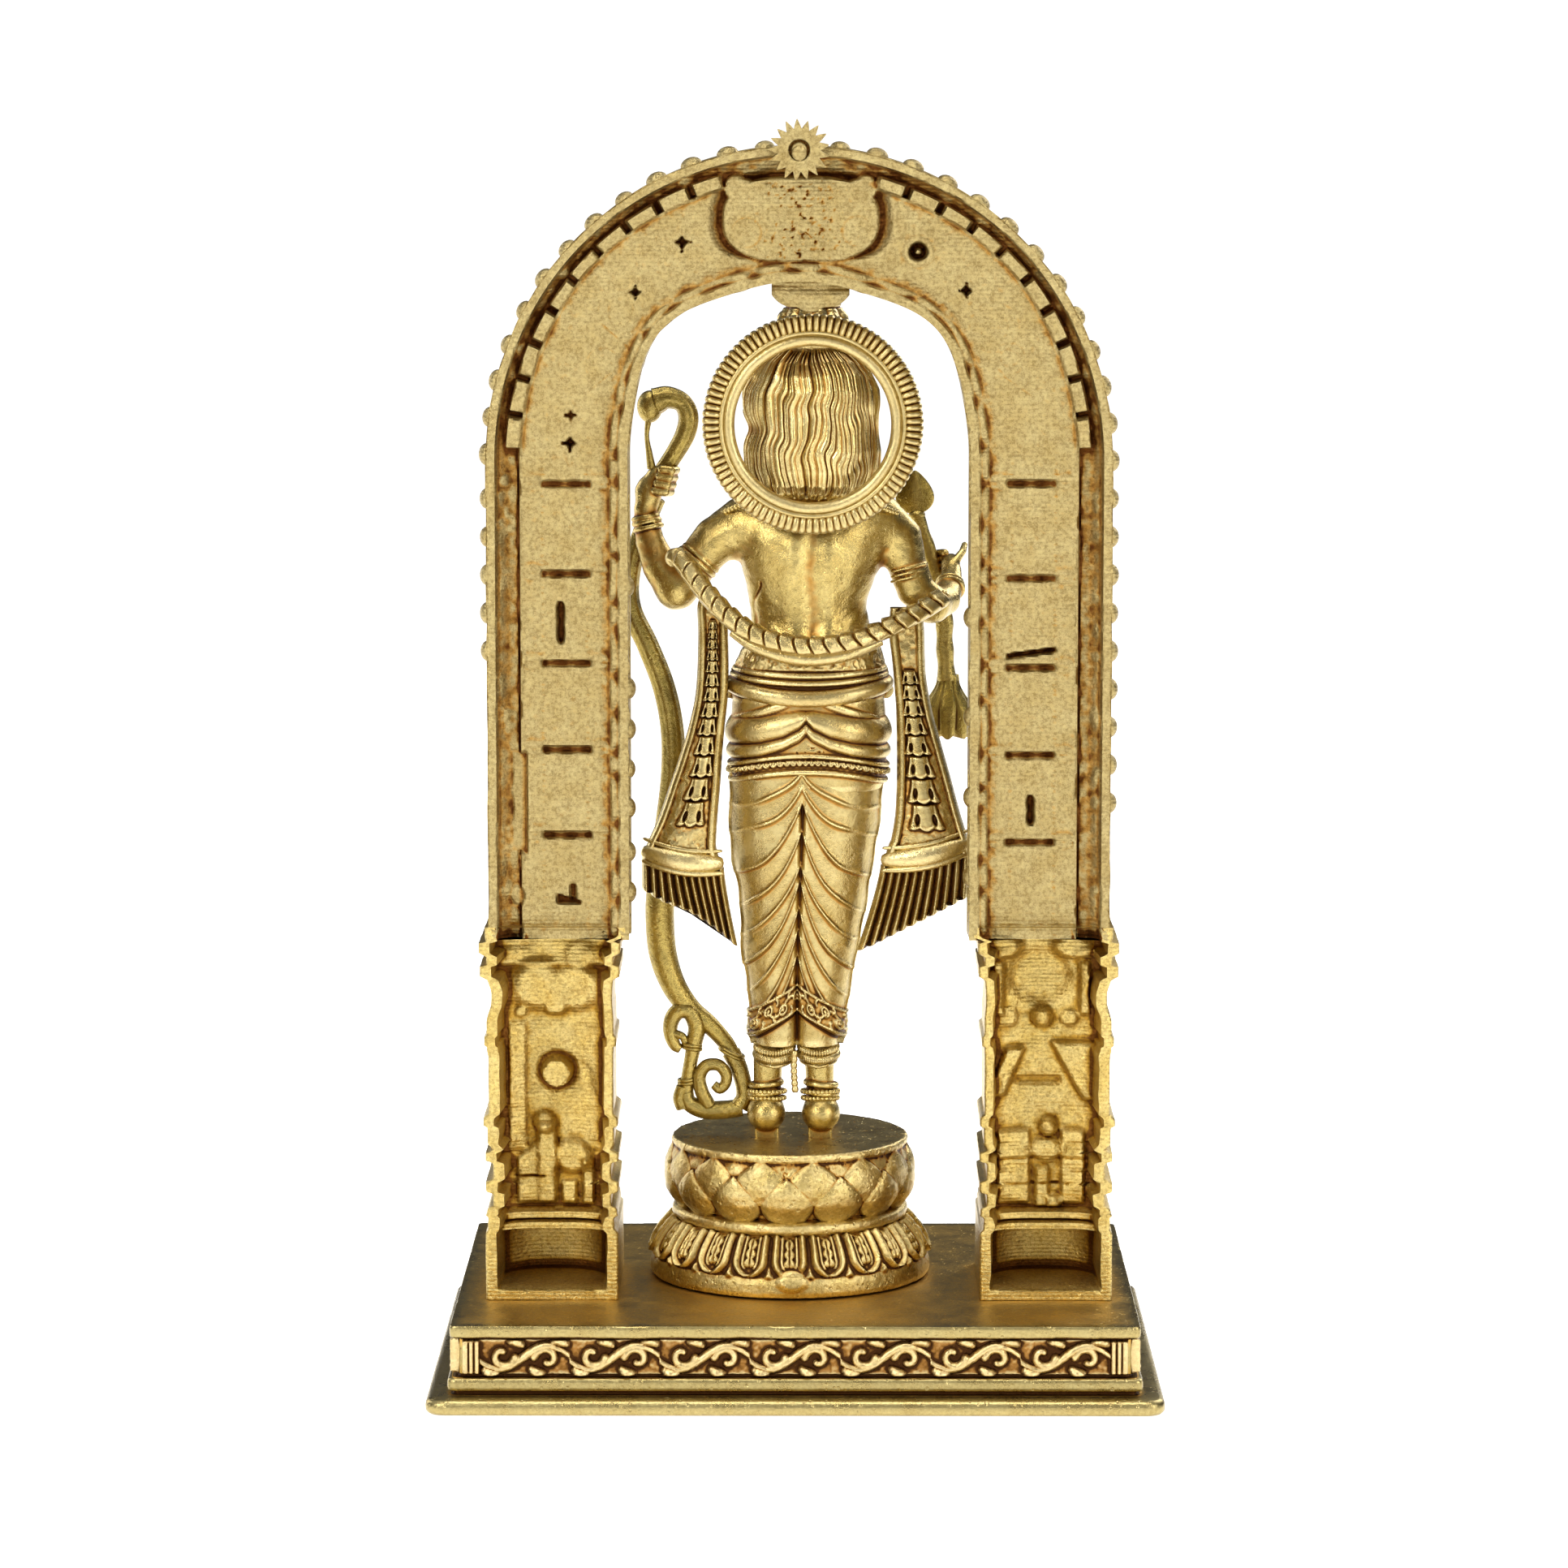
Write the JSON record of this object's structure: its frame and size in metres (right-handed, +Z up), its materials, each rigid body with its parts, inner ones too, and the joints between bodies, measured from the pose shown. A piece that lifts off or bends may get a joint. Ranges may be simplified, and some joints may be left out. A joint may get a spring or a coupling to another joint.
{
  "type": "brass archer statue with arch",
  "caption": "Cast brass standing archer figure on a double lotus, framed by a hollow-backed round arch with a sun finial, on a stepped rectangular plinth with scroll frieze.",
  "frame": {"origin": "centre of the plinth's rectangular outline, on the plane the underside rests on", "axes": "+Z up; the figure faces -Y, its back and the open back of the arch face +Y; +X is the figure's left, the bow side"},
  "size_m": [0.0952, 0.0702, 0.1652],
  "materials": {
    "plinth_brass": "cast and brushed, satin, brown patina in the recesses",
    "arch_brass": "as cast, matte, brown patina in the recesses",
    "lotus_brass": "cast, satin",
    "figure_brass": "cast, lightly polished",
    "cloth_brass": "cast, satin, brown patina in the folds",
    "ornament_brass": "cast, satin",
    "screw_steel": "plain steel"
  },
  "bodies": {
    "root": {"plinth": "plinth_brass", "frieze_back": "plinth_brass", "frieze_front": "plinth_brass", "frieze_left": "plinth_brass", "frieze_right": "plinth_brass", "arch_screw_left": "screw_steel", "arch_screw_right": "screw_steel", "pedestal_screw": "screw_steel", "arch_washer_left": "screw_steel", "arch_washer_right": "screw_steel", "pedestal_washer": "screw_steel", "arch": "arch_brass", "keystone": "arch_brass", "sun_finial": "arch_brass", "sun_rivet": "arch_brass", "lotus_base": "lotus_brass", "lotus_waist_ring": "lotus_brass", "lotus_seat": "lotus_brass", "foot_left": "figure_brass", "foot_right": "figure_brass", "dhoti": "cloth_brass", "hip_wrap": "cloth_brass", "waist_sash": "cloth_brass", "shawl_left": "cloth_brass", "shawl_right": "cloth_brass", "torso": "figure_brass", "head": "figure_brass", "hair": "figure_brass", "left_arm": "figure_brass", "right_arm": "figure_brass", "crown": "ornament_brass", "necklace": "ornament_brass", "garland": "ornament_brass", "halo_ring": "ornament_brass", "halo_rim": "ornament_brass", "bow": "ornament_brass", "arrow": "ornament_brass"}
  },
  "joints": []
}
